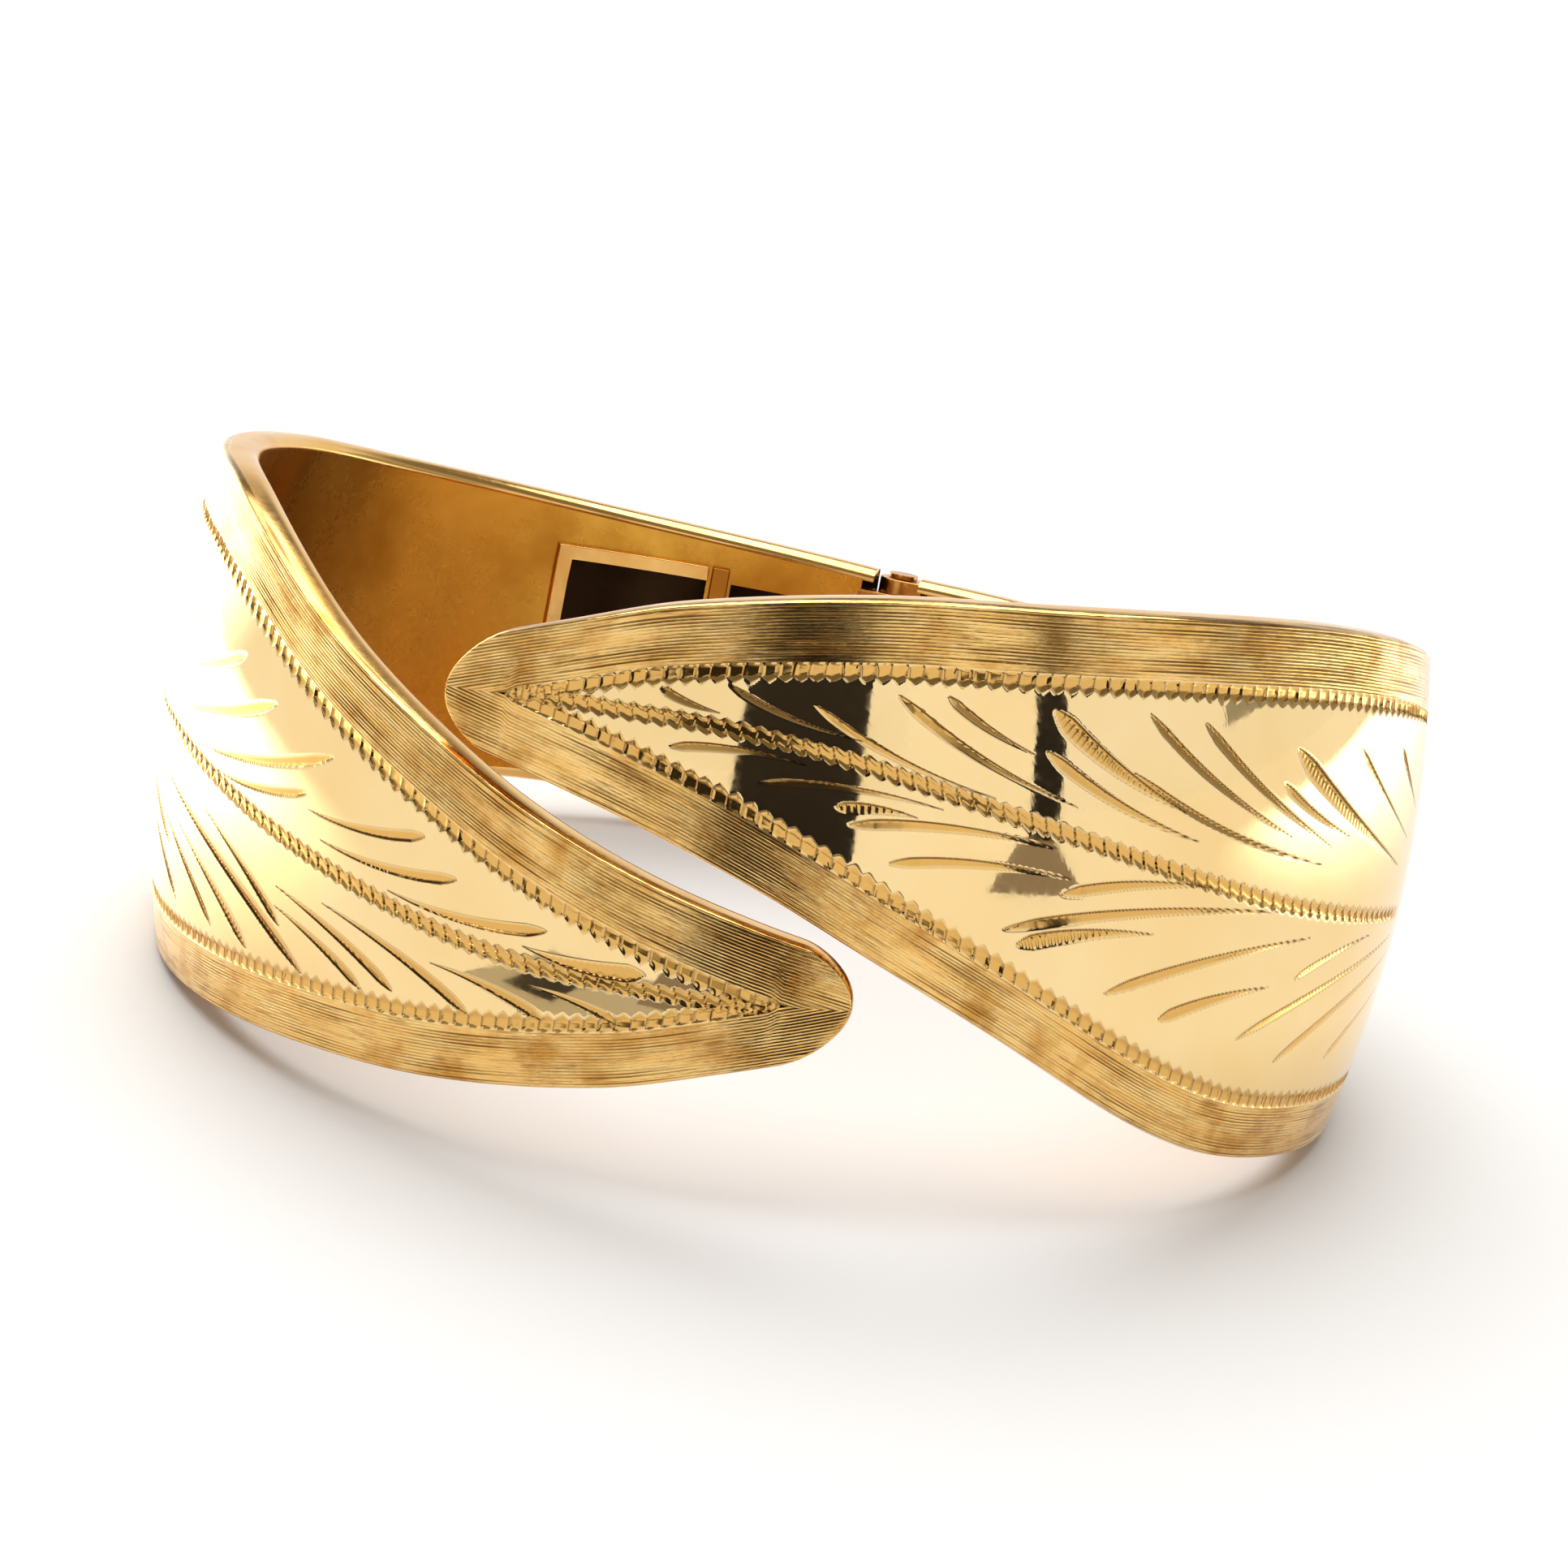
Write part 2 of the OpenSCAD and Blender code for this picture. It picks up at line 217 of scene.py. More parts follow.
def mesh_piece(name, points, faces, left, material, smooth_angle=None):
    """A mesh object from wrist-frame points in mm."""
    mesh = bpy.data.meshes.new(name)
    mesh.from_pydata(placed(points, left).tolist(), [], faces)
    mesh.update()
    mesh.shade_smooth()
    if smooth_angle is not None:
        mesh.set_sharp_from_angle(angle=math.radians(smooth_angle))
    mesh.materials.append(material)
    piece = bpy.data.objects.new(name, mesh)
    bpy.context.scene.collection.objects.link(piece)
    return piece


def grid_faces(rows, cols, start=0):
    """Quads of a grid of rows x cols vertices, with normals out of the band."""
    i, j = np.meshgrid(np.arange(rows - 1), np.arange(cols - 1), indexing="ij")
    p = start + (i * cols + j).ravel()
    return np.stack([p, p + cols, p + cols + 1, p + 1], -1)[:, ::-1].tolist()


def set_layer(piece, name, values):
    """A named value at each vertex, for the materials to read."""
    layer = piece.data.attributes.new(name, "FLOAT", "POINT")
    layer.data.foreach_set("value", np.asarray(values, np.float32).ravel())


def set_uv(piece, s, v):
    """A UV layer that holds millimetres along and across the leaf."""
    loops = np.zeros(len(piece.data.loops), np.int32)
    piece.data.loops.foreach_get("vertex_index", loops)
    uv = np.stack([np.ravel(s)[loops], np.ravel(v)[loops]], -1)
    layer = piece.data.uv_layers.new(name="leaf_mm")
    layer.data.foreach_set("uv", uv.astype(np.float32).ravel())


def masked_slab(outer, inner, keep):
    """Points and faces of a closed slab between two grids, with holes where keep is false."""
    rows, cols = outer.shape[:2]
    m = rows * cols
    points = np.concatenate([outer.reshape(-1, 3), inner.reshape(-1, 3)])
    faces = []
    padded = np.pad(keep, 1)
    for i, j in np.argwhere(keep).tolist():
        p = i * cols + j
        a, b, c, d = p, p + 1, p + cols + 1, p + cols
        faces.append((a, b, c, d))
        faces.append((m + a, m + d, m + c, m + b))
        if not padded[i, j + 1]:
            faces.append((a, m + a, m + b, b))
        if not padded[i + 2, j + 1]:
            faces.append((d, c, m + c, m + d))
        if not padded[i + 1, j]:
            faces.append((a, d, m + d, m + a))
        if not padded[i + 1, j + 2]:
            faces.append((b, m + b, m + c, c))
    return points, faces


# ---------------------------------------------------------------- engraving
def wave(x):
    """Triangle wave from 0 to 1 and back over each unit of x."""
    return 1 - np.abs(2 * (x % 1) - 1)


def wriggle_row(s, w, deep):
    """Depth and painted shade of a wriggle-cut row: facets on one side of its valley, teeth on the other (w >
    0).
    """
    phase = (s / TOOTH + 0.04 * np.sin(s * 1.7)) % 1
    edge = 0.12 + 0.32 * wave(phase)
    ramp = 0.35 + 0.65 * phase
    from_side = w - VALLEY_SIDE
    border_side = 0.6 * np.clip(from_side / 0.1, 0, 1) + 0.4 * np.clip(from_side / 0.47, 0, 1)
    tooth_side = np.clip((edge - w) / (edge - 0.05), 0, 1)
    rib = np.clip(np.minimum(phase, 1 - phase) / 0.12, 0.25, 1)
    depth = deep * ramp * rib * np.minimum(border_side, tooth_side)
    between = np.clip(1.6 - np.minimum(phase, 1 - phase) / 0.07, 0, 1) * (w > VALLEY_SIDE) * (w < edge)
    outline_shade = np.clip(1 - np.abs(w - edge) / 0.06, 0, 1)
    return depth, np.maximum(0.6 * between, 0.5 * outline_shade)


def midrib_row(s, w, deep):
    """Depth and painted shade of the braided row along the middle: slanted cuts, toothed on both sides."""
    phase = (s / TOOTH + 0.5 * w + 0.05 * np.sin(s * 1.3)) % 1
    reach = 0.26 + 0.18 * wave(phase + np.sign(w) * 0.25)
    depth = deep * (0.4 + 0.6 * phase) * np.clip((reach - np.abs(w)) / 0.22, 0, 1)
    between = np.clip(1.4 - np.minimum(phase, 1 - phase) / 0.07, 0, 1) * (np.abs(w) < reach)
    outline_shade = np.clip(1 - np.abs(np.abs(w) - reach) / 0.06, 0, 1)
    return depth, np.maximum(0.75 * between, 0.6 * outline_shade)


def add_cut(s, z, cut, depth, shade):
    """Adds one graver cut to the depth and painted shade of the points (s, z): sharp head, long fine tail."""
    t0, z0, t1, z1, width, ribbed = cut
    head, tail = np.array([along(t0), z0]), np.array([along(t1), z1])
    chord = tail - head
    length = np.hypot(*chord)
    side = np.array([-chord[1], chord[0]]) / length
    above = np.sign(z0 - curve(MIDRIB, t0))
    bow = -above * 0.09 * length * np.sign(side[1])
    u = np.linspace(0, 1, 49)[:, None]
    line = head * (1 - u) ** 2 + 2 * (head + chord * 0.45 + side * bow) * u * (1 - u) + tail * u ** 2
    near = ((s > line[:, 0].min() - width) & (s < line[:, 0].max() + width)
            & (z > line[:, 1].min() - width) & (z < line[:, 1].max() + width))
    if not near.any():
        return
    p = np.stack([s[near], z[near]], -1)
    k = np.argmin(((p[:, None] - line[None]) ** 2).sum(-1), axis=1)
    k = np.clip(k, 1, len(line) - 2)
    tangent = line[k + 1] - line[k - 1]
    tangent /= np.linalg.norm(tangent, axis=1)[:, None]
    offset = p - line[k]
    a = k / (len(line) - 1) + (offset * tangent).sum(1) / length
    across = offset[:, 1] * tangent[:, 0] - offset[:, 0] * tangent[:, 1]
    inside = (a > 0) & (a < 1)
    a = np.clip(a, 0, 1)
    half = width / 2 * np.minimum(1, (a / 0.12) ** 0.5) * (1 - np.clip((a - 0.2) / 0.8, 0, 1) ** 1.5)
    q = across / np.maximum(half, 1e-4)
    wall = np.where(q > CUT_VALLEY, (1 - q) / (1 - CUT_VALLEY), (q + 1) / (1 + CUT_VALLEY))
    deep = CUT_STEEP * half
    if ribbed:
        deep = deep * (0.55 + 0.45 * wave(a * length / RIB_PITCH))
    depth[near] = np.maximum(depth[near], np.where(inside, deep * np.clip(wall, 0, 1), 0))
    line_shade = np.clip(1 - np.abs(across - 0.85 * half) / (0.05 + 0.1 * half), 0, 1)
    far_shade = 0.55 * np.clip(1 - np.abs(across + half) / 0.05, 0, 1)
    shade[near] = np.maximum(shade[near], np.where(inside, np.maximum(line_shade, far_shade), 0))


def engraved(t, z, low, high, cuts):
    """Depth of all the engraving at the grid points of a panel, and the painted shade along its edges."""
    s = along(t)
    depth, shade = wriggle_row(s, z - low - ROW_IN, ROW_DEPTH)
    fade = np.clip((along(MIDRIB_END) - s) / 2, 0, 1)
    for row_depth, row_shade in (
        wriggle_row(s + TOOTH / 2, high - ROW_IN - z, ROW_DEPTH),
        (fade * v for v in midrib_row(s, z - curve(MIDRIB, t), MIDRIB_DEPTH)),
    ):
        depth = np.maximum(depth, row_depth)
        shade = np.maximum(shade, row_shade)
    for cut in cuts + BACK_CUTS:
        add_cut(s, z, cut, depth, shade)
    return depth, shade


# ---------------------------------------------------------------- materials
# Dark brown that the shade layer mixes in along the engraved edges and between the teeth: painted shade of
# the cut walls
CUT_EDGE_PAINTED_SHADE = (0.09, 0.035, 0.008, 1)
BUMP_DEPTH, BRUSH_BUMP = 2e-5, 3e-5
SMUDGE_SCALE, GRAIN_SCALE, BLOTCH_SCALE = 160, 2600, 420
SCRATCH_TURN, SCRATCH_SCALE = (0.6, 0.3, 0.9), (260, 5200, 900)
STREAK_SCALE, BROAD_SCALE = (0.5, 6, 1), (0.25, 1.6, 1)


def new_material(name):
    """A material, its shader, a maker of nodes from named inputs, and a linker to the shader."""
    material = bpy.data.materials.new(name)
    material.use_nodes = True
    tree = material.node_tree
    shader = tree.nodes["Principled BSDF"]

    def add(kind, inputs=None, **settings):
        node = tree.nodes.new(kind)
        for key, value in settings.items():
            setattr(node, key, value)
        for key, value in (inputs or {}).items():
            if isinstance(value, bpy.types.NodeSocket):
                tree.links.new(value, node.inputs[key])
            else:
                node.inputs[key].default_value = value
        return node

    def link(source, target):
        tree.links.new(source, shader.inputs[target])

    return material, shader, add, link


def spread(add, source, low, high, start=0.3, end=0.7):
    """A value mapped from start..end to low..high."""
    return add("ShaderNodeMapRange", {"Value": source, "From Min": start, "From Max": end, "To Min": low,
                                      "To Max": high}).outputs["Result"]


def noise(add, vector, scale, detail=4.0, rough=0.55):
    """Fractal noise between 0 and 1."""
    return add("ShaderNodeTexNoise", {"Vector": vector, "Scale": scale, "Detail": detail,
                                      "Roughness": rough}).outputs["Fac"]


def mixed(add, share, first, second):
    """A colour between first and second. The node's colour sockets are 6 and 7, and 2 is its result."""
    node = add("ShaderNodeMix", data_type="RGBA")
    for socket, value in ((node.inputs["Factor"], share), (node.inputs[6], first), (node.inputs[7], second)):
        if isinstance(value, bpy.types.NodeSocket):
            node.id_data.links.new(value, socket)
        else:
            socket.default_value = value
    return node.outputs[2]


def gold(name, colour, worn, rough, scratch=0.12, dents=0.25, layer=None, cut_colour=None):
    """Polished gold: colour drifting to a worn tone, smudged gloss, hairline scratches and faint dents."""
    material, shader, add, link = new_material(name)
    shader.inputs["Metallic"].default_value = 1.0
    place = add("ShaderNodeTexCoord").outputs["Object"]
    smudge = noise(add, place, SMUDGE_SCALE, 5)
    grain = noise(add, place, GRAIN_SCALE, 3)
    tone = mixed(add, spread(add, smudge, 0, 1), (*colour, 1), (*worn, 1))
    smudged = spread(add, smudge, rough * 0.7, rough * 1.5)
    grained = spread(add, grain, -0.02, 0.03)
    gloss = add("ShaderNodeMath", {0: smudged, 1: grained}, operation="ADD").outputs[0]
    if layer:
        cut = add("ShaderNodeAttribute", attribute_name=layer).outputs["Fac"]
        tone = mixed(add, cut, tone, (*cut_colour, 1))
        # Painted shade: the shade layer darkens the cut edges and the gaps between teeth towards a dark brown
        shade = add("ShaderNodeAttribute", attribute_name="shade").outputs["Fac"]
        tone = mixed(add, spread(add, shade, 0, 1, 0.15, 0.8), tone, CUT_EDGE_PAINTED_SHADE)
        gloss = add("ShaderNodeMath", {0: cut, 1: 0.07, 2: gloss}, operation="MULTIPLY_ADD").outputs[0]
    link(tone, "Base Color")
    link(gloss, "Roughness")
    stretched = add("ShaderNodeMapping", {"Vector": place, "Rotation": SCRATCH_TURN, "Scale": SCRATCH_SCALE})
    lines = noise(add, stretched.outputs["Vector"], 1, 2)
    scratched = add("ShaderNodeBump", {"Strength": scratch, "Distance": BUMP_DEPTH, "Height": lines})
    dented = add("ShaderNodeBump", {"Strength": dents, "Distance": BUMP_DEPTH,
                                    "Height": noise(add, place, BLOTCH_SCALE, 2),
                                    "Normal": scratched.outputs["Normal"]})
    link(dented.outputs["Normal"], "Normal")
    return material


def brushed(name, colour, worn, reflection_patch, deep, rough):
    """Gold with fine lines along the leaf: painted shade darkens its grooves and streaks, and dark patches
    are painted reflections.
    """
    material, shader, add, link = new_material(name)
    shader.inputs["Metallic"].default_value = 1.0
    uv = add("ShaderNodeUVMap", uv_map="leaf_mm").outputs["UV"]
    place = add("ShaderNodeTexCoord").outputs["Object"]
    streaked = add("ShaderNodeMapping", {"Vector": uv, "Scale": STREAK_SCALE})
    fine = noise(add, streaked.outputs["Vector"], 1, 3, 0.7)
    broadened = add("ShaderNodeMapping", {"Vector": uv, "Scale": BROAD_SCALE})
    broad = noise(add, broadened.outputs["Vector"], 1, 3)
    blotch = noise(add, place, BLOTCH_SCALE, 4)
    groove = add("ShaderNodeAttribute", attribute_name="groove").outputs["Fac"]
    tone = mixed(add, spread(add, broad, 0, 1), (*colour, 1), (*worn, 1))
    # Painted reflection: dark orange-brown patches where the blotch noise is high
    tone = mixed(add, spread(add, blotch, 0, 0.85, 0.48, 0.68), tone, (*reflection_patch, 1))
    # Painted shade: the grooves and the fine streaks turn towards the deep brown
    tone = mixed(add, spread(add, groove, 0, 0.9, 0.12, 0.6), tone, (*deep, 1))
    tone = mixed(add, spread(add, fine, 0, 0.5, 0.52, 0.66), tone, (*deep, 1))
    link(tone, "Base Color")
    link(spread(add, fine, rough * 0.75, rough * 1.35), "Roughness")
    lined = add("ShaderNodeBump", {"Strength": 0.5, "Distance": BRUSH_BUMP, "Height": fine})
    link(lined.outputs["Normal"], "Normal")
    return material


PANEL_GOLD = gold("panel_gold", (0.93, 0.70, 0.36), (0.90, 0.64, 0.29), 0.035, scratch=0.08, dents=0.12,
                  layer="cut", cut_colour=(0.74, 0.43, 0.12))
# The border's third colour is painted reflection in patches, and its fourth is painted shade in the grooves
# and streaks
BORDER_GOLD = brushed("border_gold", (0.95, 0.66, 0.26), (0.87, 0.50, 0.14), (0.58, 0.27, 0.05),
                      (0.18, 0.075, 0.012), 0.14)
RIM_GOLD = gold("rim_gold", (0.90, 0.58, 0.21), (0.82, 0.44, 0.11), 0.17)
# Deep reddish amber drifting to dark red-brown, darker than the outer gold: painted shade and painted
# gold-on-gold reflection of the bangle's inside
INNER_SHADE_GOLD = gold("inner_gold", (0.85, 0.48, 0.075), (0.50, 0.21, 0.02), 0.24, scratch=0.04, dents=0.06)
# Deeper, redder gold than the leaves for the hinge fittings, drifting to dark red-brown: painted shade of the
# hinge at the back
FITTING_SHADE_GOLD = gold("fitting_gold", (0.72, 0.38, 0.10), (0.50, 0.21, 0.04), 0.22, scratch=0.3)
# Dark amber gold for the bar between the windows: painted shade of the bar at the back of the bangle
BAR_SHADE_GOLD = gold("frame_gold", (0.60, 0.27, 0.04), (0.40, 0.15, 0.02), 0.28, scratch=0.2)
# Near-black gold for the wrist side of the outer sheets: painted shade of the hollow inside the leaves
HOLLOW_SHADE_GOLD = gold("hollow_shade_gold", (0.035, 0.02, 0.01), (0.02, 0.01, 0.005), 0.45, scratch=0.4, dents=0.8)
SPRING_STEEL = gold("spring_steel", (0.42, 0.40, 0.37), (0.30, 0.26, 0.22), 0.32, scratch=0.5)


# ---------------------------------------------------------------- pieces of one leaf
LINE_PITCH = 0.142
LINE_DEPTH = 0.04
BRUSHED_TURNS = np.array([52.0, 40.0, 28.0, 14.0, 0.0])
FLAT_COLS = 84
LINE_COUNT = 64
line_strength = RNG.uniform(0.35, 1.0, LINE_COUNT)


def from_edge(t, z):
    """Distance in mm from the nearer edge of the leaf."""
    return np.minimum(top(t) - z, z - bottom(t))


def brush_depth(t, z, turned):
    """Depth of the lines that the border is brushed with. They follow the nearer edge of the leaf."""
    s = along(t)
    line = 3 + (from_edge(t, z) - turned) / LINE_PITCH + 0.12 * np.sin(s * 0.35)
    strength = line_strength[np.clip(np.round(line), 0, LINE_COUNT - 1).astype(int)]
    drift = 0.75 + 0.25 * np.sin(s * 0.8 + 5 * strength)
    return LINE_DEPTH * strength * drift * (1 - wave(line)) ** 2


def rim_ring(path, turn):
    """The leaf's outline after a turn in degrees round its edge: 0 is outside, 180 on the wrist side."""
    width = RIM_SHOWN if turn < 90 else RIM_H
    return inset(path, width * (1 - math.sin(math.radians(turn))))


def rim_depth(turn):
    """How far below the outside the half-round edge is after a turn in degrees."""
    return BAND_T / 2 * (1 - np.cos(np.radians(turn)))


def face_border(name, left):
    """Brushed border of a leaf's outer sheet, from where its edge is polished to the engraved panel."""
    t, share = leaf_rings(40, 0.4)
    rings = [rim_ring(outline(t, share), turn) for turn in BRUSHED_TURNS]
    n = len(t)
    low, high = rings[-1][:n][::-1], rings[-1][n - 1:]
    mid_t = (low[:, 0] + high[:, 0]) / 2
    mid_z = (low[:, 1] + high[:, 1]) / 2
    half = panel_half(mid_t)
    cols = len(rings) + FLAT_COLS
    u = np.linspace(0, 1, FLAT_COLS + 1)[None, :]
    turned = np.concatenate([rim_depth(BRUSHED_TURNS), np.zeros(FLAT_COLS)])
    grids = []
    for edge, sign, half_path in ((low, -1, lambda r: r[:n][::-1]), (high, 1, lambda r: r[n - 1:])):
        inner_z = np.where(half > 0, middle(mid_t) + sign * half, mid_z)
        over_t = np.stack([half_path(r)[:, 0] for r in rings[:-1]], 1)
        over_z = np.stack([half_path(r)[:, 1] for r in rings[:-1]], 1)
        tt = np.concatenate([over_t, edge[:, :1] + (mid_t[:, None] - edge[:, :1]) * u], axis=1)
        zz = np.concatenate([over_z, edge[:, 1:] + (inner_z[:, None] - edge[:, 1:]) * u], axis=1)
        depth = np.broadcast_to(turned, tt.shape)
        grids.append((tt, zz, depth) if sign < 0 else (tt[:, ::-1], zz[:, ::-1], depth[:, ::-1]))
    points, faces, grooves = [], [], []
    for k, (tt, zz, depth) in enumerate(grids):
        groove = brush_depth(tt, zz, depth)
        grooves.append(groove.ravel() / LINE_DEPTH)
        points.append(on_band(tt, zz, depth + groove).reshape(-1, 3))
        faces += grid_faces(n, cols, k * n * cols)
    piece = mesh_piece(name, np.concatenate(points), faces, left, BORDER_GOLD)
    s = np.concatenate([along(g[0]).ravel() for g in grids])
    v = np.concatenate([(from_edge(g[0], g[1]) - g[2]).ravel() + 20 * k for k, g in enumerate(grids)])
    set_uv(piece, s, v)
    set_layer(piece, "groove", np.concatenate(grooves))
    return piece


def face_back(name, left):
    """Unpolished wrist side of a leaf's outer sheet, which shows through the windows; its near-black gold is
    painted shade of the hollow.
    """
    t, share = leaf_rings(16, 1)
    path = inset(outline(t, share), RIM_H)
    n = len(t)
    low, high = path[:n][::-1], path[n - 1:]
    u = np.linspace(0, 1, 13)[None, :]
    tt = low[:, :1] + (high[:, :1] - low[:, :1]) * u
    zz = low[:, 1:] + (high[:, 1:] - low[:, 1:]) * u
    inward = [face[::-1] for face in grid_faces(*zz.shape)]
    return mesh_piece(name, on_band(tt, zz, FACE_T), inward, left, HOLLOW_SHADE_GOLD)


def panel_half(t):
    """Half the height of the polished panel at angles t: nothing before its rounded start."""
    t = np.asarray(t, float)
    plain = (top(t) - bottom(t)) / 2 - BORDER_W
    u = np.clip((t - PANEL_START) / PANEL_ROUND, 0, 1)
    return plain * np.sqrt(1 - (1 - u) ** 2)


FINE_END, EDGE_COLS, MID_COLS = 95, 14, 190


def face_panel(name, left, cuts):
    """Polished panel of a leaf's outer sheet, with every cut of the engraving in its mesh."""
    first, last = along(PANEL_START), along(SEAM_ANGLE)
    turning = along(FINE_END)
    fine, coarse = np.arange(first, turning, TOOTH / 8), np.arange(turning, last, TOOTH / 4)
    steps = np.concatenate([fine, coarse, [last]])
    t = np.interp(steps, LENGTHS, LENGTH_ANGLES)
    t[0] = PANEL_START
    half = panel_half(t)
    low, high = middle(t) - half, middle(t) + half
    rim = np.linspace(0, 1, EDGE_COLS)
    band = np.minimum(1.0 / np.maximum(2 * half, 1e-6), 0.25)[:, None]
    share = np.concatenate([band * rim, band + (1 - 2 * band) * np.linspace(0, 1, MID_COLS)[1:-1],
                            1 - band * rim[::-1]], axis=1)
    zz = low[:, None] + (high - low)[:, None] * share
    tt = np.broadcast_to(t[:, None], zz.shape)
    depth, shade = engraved(tt, zz, low[:, None], high[:, None], cuts)
    piece = mesh_piece(name, on_band(tt, zz, depth), grid_faces(*zz.shape), left, PANEL_GOLD, 24)
    set_layer(piece, "cut", np.clip(depth / FULL_CUT, 0, 1))
    set_layer(piece, "shade", shade)
    return piece


def edge_strip(name, left):
    """Half-round polished strip that closes the edge between the two sheets."""
    t, share = leaf_rings(40, 0.35)
    path = outline(t, share)
    turns = np.linspace(BRUSHED_TURNS[0], 180, 17)
    rings = [rim_ring(path, turn) for turn in turns]
    tt = np.stack([r[:, 0] for r in rings], 1)
    zz = np.stack([r[:, 1] for r in rings], 1)
    depth = np.broadcast_to(rim_depth(turns), tt.shape)
    rows, cols = tt.shape
    i, j = np.meshgrid(np.arange(rows - 1), np.arange(cols), indexing="ij")
    p, q = (i * cols + j).ravel(), (i * cols + (j + 1) % cols).ravel()
    sides = np.stack([p, p + cols, q + cols, q], -1).tolist()
    ends = [list(range(cols)), list(range(rows * cols - 1, (rows - 1) * cols - 1, -1))]
    return mesh_piece(name, on_band(tt, zz, depth), sides + ends, left, RIM_GOLD, 50)


def window_share(t):
    """1 beside the windows, falling to 0 further round the wrist."""
    start, end = float(back_angle(26)), float(back_angle(20))
    u = np.clip((t - start) / (end - start), 0, 1)
    return u * u * (3 - 2 * u)


def wing_liner(name, left):
    """Plain inner sheet, cut for the two windows and short of the hinge."""
    t, share = leaf_rings(24, 0.5)
    stop_x = (WINDOW_X + WINDOW_W, WINDOW_X, WINDOW_X - BRIDGE_W, PLATE_X + 0.05)
    stops = [float(back_angle(x)) for x in stop_x]
    keep_rows = np.ones(len(t), bool)
    for stop in stops:
        keep_rows &= np.abs(t - stop) > 0.3
    order = np.argsort(np.concatenate([t[keep_rows], stops]), kind="stable")
    t = np.concatenate([t[keep_rows], stops])[order]
    share = np.concatenate([share[keep_rows], np.ones(len(stops))])[order]
    inside = t <= stops[-1] + 1e-6
    t, share = t[inside], share[inside]
    path = inset(outline(t, share), RIM_H)
    n = len(t)
    low, high = path[:n][::-1], path[n - 1:]
    window_low, window_high = WINDOW_Z - WINDOW_H / 2, WINDOW_Z + WINDOW_H / 2
    near = window_share(t)
    quarter = (high[:, 1] - low[:, 1]) / 4
    first = low[:, 1] + quarter + near * (window_low - low[:, 1] - quarter)
    second = high[:, 1] - quarter + near * (window_high - high[:, 1] + quarter)
    n_side, n_mid = 8, 20
    parts = []
    for a, b, count, kept in (
        (low[:, 1], first, n_side, n_side),
        (first, second, n_mid, n_mid),
        (second, high[:, 1], n_side, n_side + 1),
    ):
        parts.append(a[:, None] + (b - a)[:, None] * np.linspace(0, 1, count + 1)[None, :kept])
    zz = np.concatenate(parts, axis=1)
    f = (zz - low[:, 1:]) / np.maximum(high[:, 1:] - low[:, 1:], 1e-6)
    tt = low[:, :1] + (high[:, :1] - low[:, :1]) * f
    row_t = (t[:-1] + t[1:]) / 2
    open_rows = ((row_t > stops[0]) & (row_t < stops[1])) | (row_t > stops[2])
    open_cols = np.zeros(zz.shape[1] - 1, bool)
    open_cols[n_side:n_side + n_mid] = True
    keep = ~(open_rows[:, None] & open_cols[None, :])
    points, faces = masked_slab(on_band(tt, zz, BAND_T - LINER_T), on_band(tt, zz, BAND_T), keep)
    return mesh_piece(name, points, faces, left, INNER_SHADE_GOLD, 40)


def raised(name, t, z, keep, left, material, edge):
    """A flat gold strip that stands on the wrist side of the inner sheet, with edges worn round."""
    foot = BAND_T + SOLDER
    points, faces = masked_slab(on_band(t, z, foot), on_band(t, z, foot + FRAME_H), keep)
    return rounded(mesh_piece(name, points, faces, left, material, 40), edge)


def window_frame(name, left):
    """Raised frame on three sides of the first window."""
    low, high = WINDOW_Z - WINDOW_H / 2, WINDOW_Z + WINDOW_H / 2
    far = WINDOW_X + WINDOW_W
    x = np.concatenate([np.linspace(WINDOW_X, far, 17), [far + FRAME_W]])[::-1]
    t = back_angle(x)[:, None]
    z = np.concatenate([[low - FRAME_W], np.linspace(low, high, 9), [high + FRAME_W]])[None, :]
    keep = np.ones((len(x) - 1, z.shape[1] - 1), bool)
    keep[1:, 1:-1] = False
    return raised(name, t, z, keep, left, RIM_GOLD, 0.07)


def bridge_bar(name, left):
    """Raised bar between the windows."""
    low, high = WINDOW_Z - WINDOW_H / 2 - FRAME_W, WINDOW_Z + WINDOW_H / 2 + FRAME_W
    x = np.linspace(WINDOW_X - BAR_INSET, WINDOW_X - BRIDGE_W + BAR_INSET, 6)
    z = np.linspace(low, high, 17)[None, :]
    keep = np.ones((len(x) - 1, z.shape[1] - 1), bool)
    t = back_angle(x)[:, None]
    return raised(name, t, z, keep, left, BAR_SHADE_GOLD, 0.08)


def rounded(piece, width):
    """Worn round edges on a piece with flat sides."""
    bevel = piece.modifiers.new("worn_edges", "BEVEL")
    bevel.width = width * MM
    bevel.segments = 3
    bevel.limit_method = "ANGLE"
    bevel.angle_limit = math.radians(40)
    bevel.harden_normals = False
    return piece


def leaf_spring(name):
    """Flat steel spring across the hinge, slightly rounded at its edges."""
    x = np.linspace(-SPRING_L / 2, SPRING_L / 2, 77)
    end = np.clip((SPRING_L / 2 - np.abs(x)) / 0.5, 0, 1)
    half = SPRING_W / 2 - 0.5 + 0.5 * np.sqrt(1 - (1 - end) ** 2)
    z = np.linspace(-1, 1, 9)
    grid = [np.stack(np.broadcast_arrays(x[:, None], y, half[:, None] * z[None, :]), -1)
            for y in (SPRING_Y + SPRING_T, SPRING_Y)]
    points, faces = masked_slab(grid[0], grid[1], np.ones((len(x) - 1, len(z) - 1), bool))
    return rounded(mesh_piece(name, points, faces, False, SPRING_STEEL, 40), 0.05)


def dress(node, material, width):
    """Gives a CAD node that stays a finish and worn edges."""
    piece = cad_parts[node]
    piece.data.materials.clear()
    piece.data.materials.append(material)
    weld = piece.modifiers.new("weld", "WELD")
    weld.merge_threshold = 1e-7
    rounded(piece, width)


